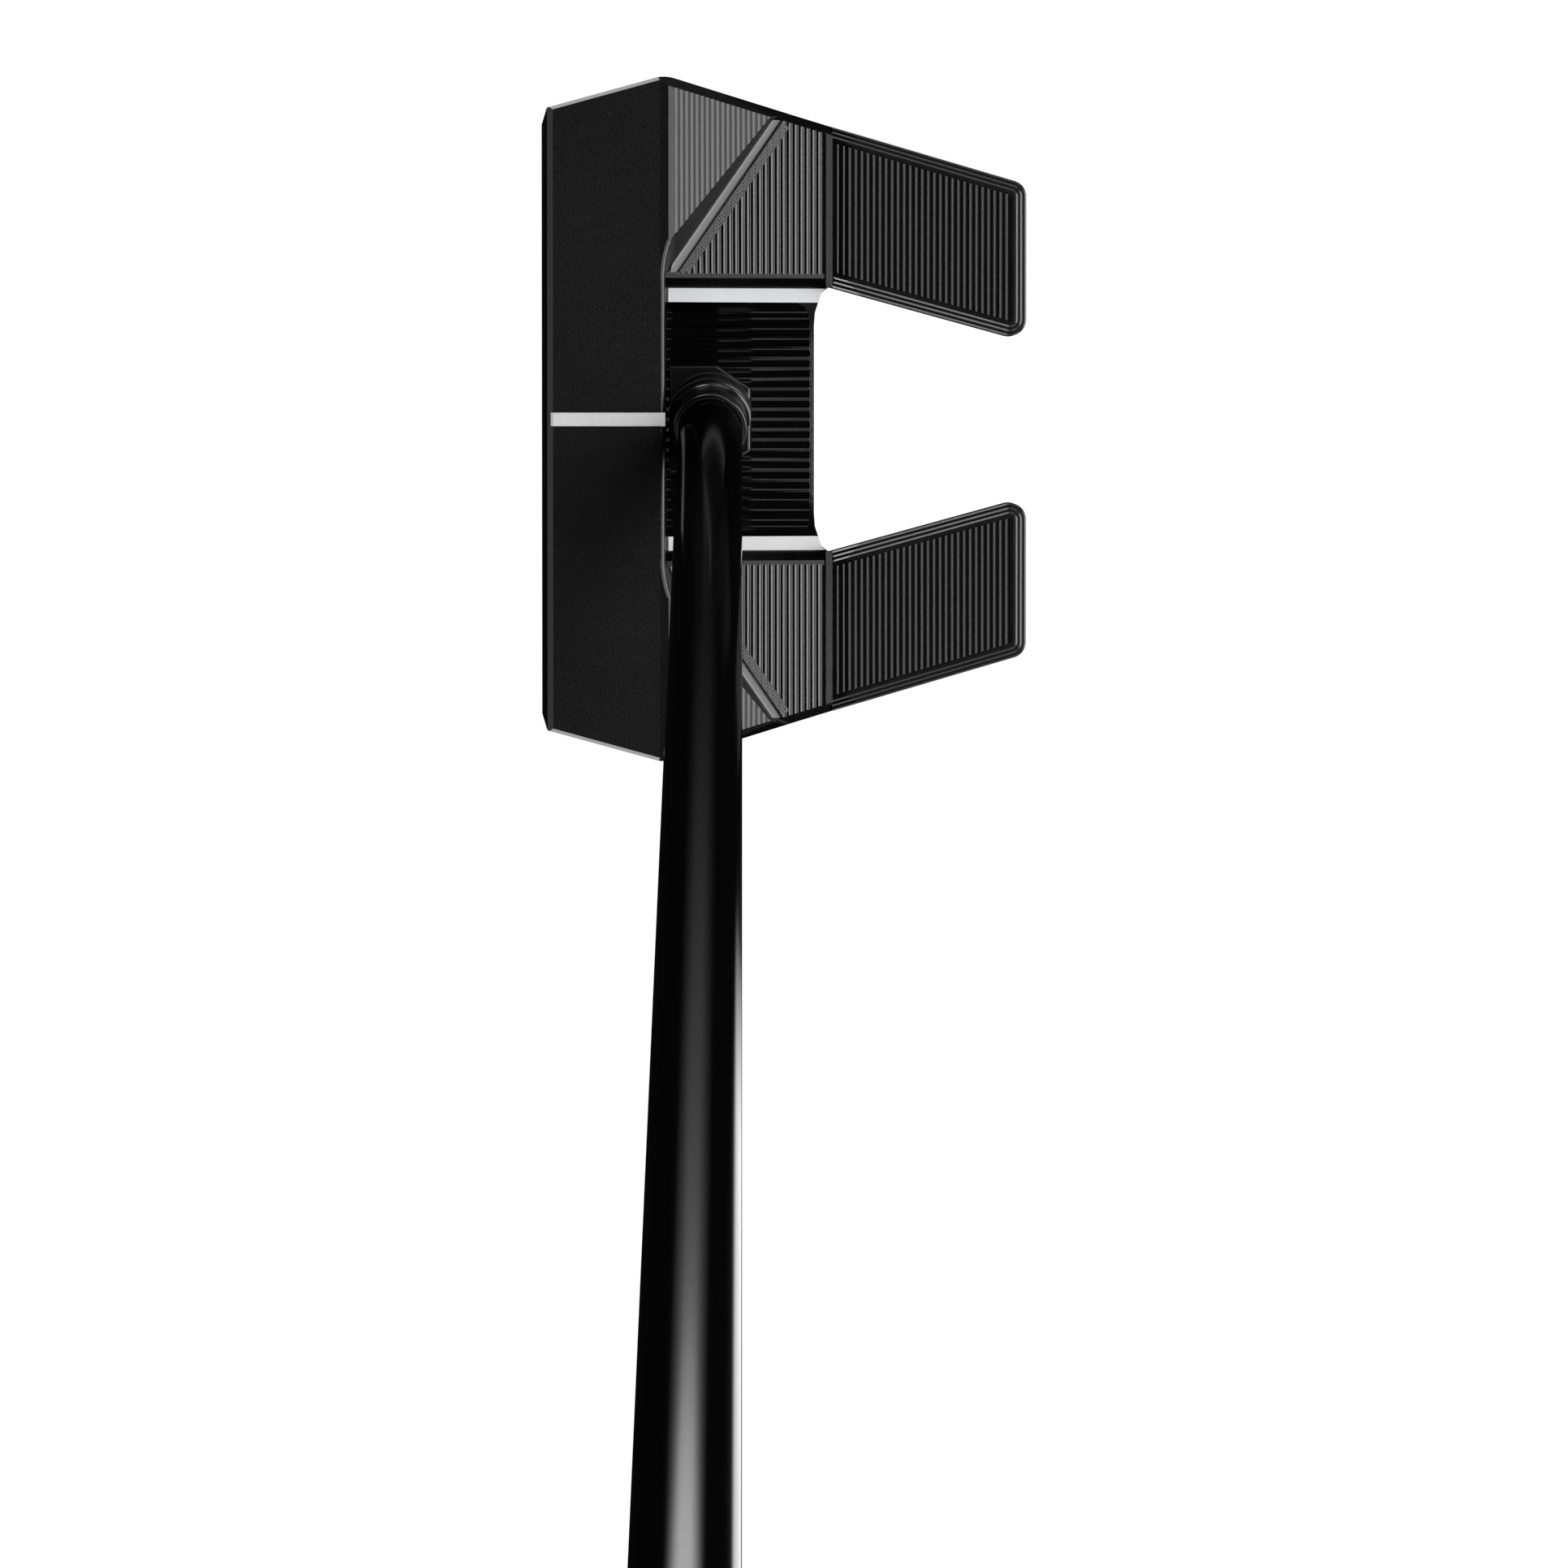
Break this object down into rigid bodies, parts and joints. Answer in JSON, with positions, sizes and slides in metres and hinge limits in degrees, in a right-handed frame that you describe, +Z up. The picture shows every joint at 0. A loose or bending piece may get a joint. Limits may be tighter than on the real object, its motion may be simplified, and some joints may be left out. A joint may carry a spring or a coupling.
{
  "type": "mallet putter",
  "caption": "Black mallet putter with two ribbed rear wings, a stepped cavity with alignment lines, a centre neck block and a straight tapered shaft with a pistol grip.",
  "frame": {"origin": "on the ground, on the flat of the sole, under the middle of the head", "axes": "+Z up with the putter soled at address, +X from toe to heel, +Y from the striking face to the rear; the shaft rises towards +X and +Z at 70 degrees"},
  "size_m": [0.3546, 0.0719, 0.8151],
  "materials": {
    "black_aluminium": "satin",
    "black_steel": "satin",
    "elastomer": "matte",
    "screw_steel": "satin",
    "weight_steel": "satin",
    "washer_nylon": "matte",
    "line_paint": "satin",
    "shaft_black": "gloss",
    "epoxy": "gloss",
    "grip_polyurethane": "matte",
    "grip_foam": "matte",
    "tape_paper": "matte",
    "cap_rubber": "satin"
  },
  "bodies": {
    "root": {"head_body": "black_aluminium", "sole_plate": "black_steel", "damping_sheet": "elastomer", "body_screws": "screw_steel", "toe_weight": "weight_steel", "heel_weight": "weight_steel", "toe_weight_washer": "washer_nylon", "heel_weight_washer": "washer_nylon", "neck_block": "black_steel", "neck_screws": "screw_steel", "topline_sight_line": "line_paint", "heel_sight_line": "line_paint", "toe_sight_line": "line_paint", "shaft": "shaft_black", "shaft_epoxy": "epoxy", "grip_skin": "grip_polyurethane", "grip_core": "grip_foam", "grip_tape": "tape_paper", "grip_end_cap": "cap_rubber", "grip_cap_plug": "cap_rubber"}
  },
  "joints": []
}
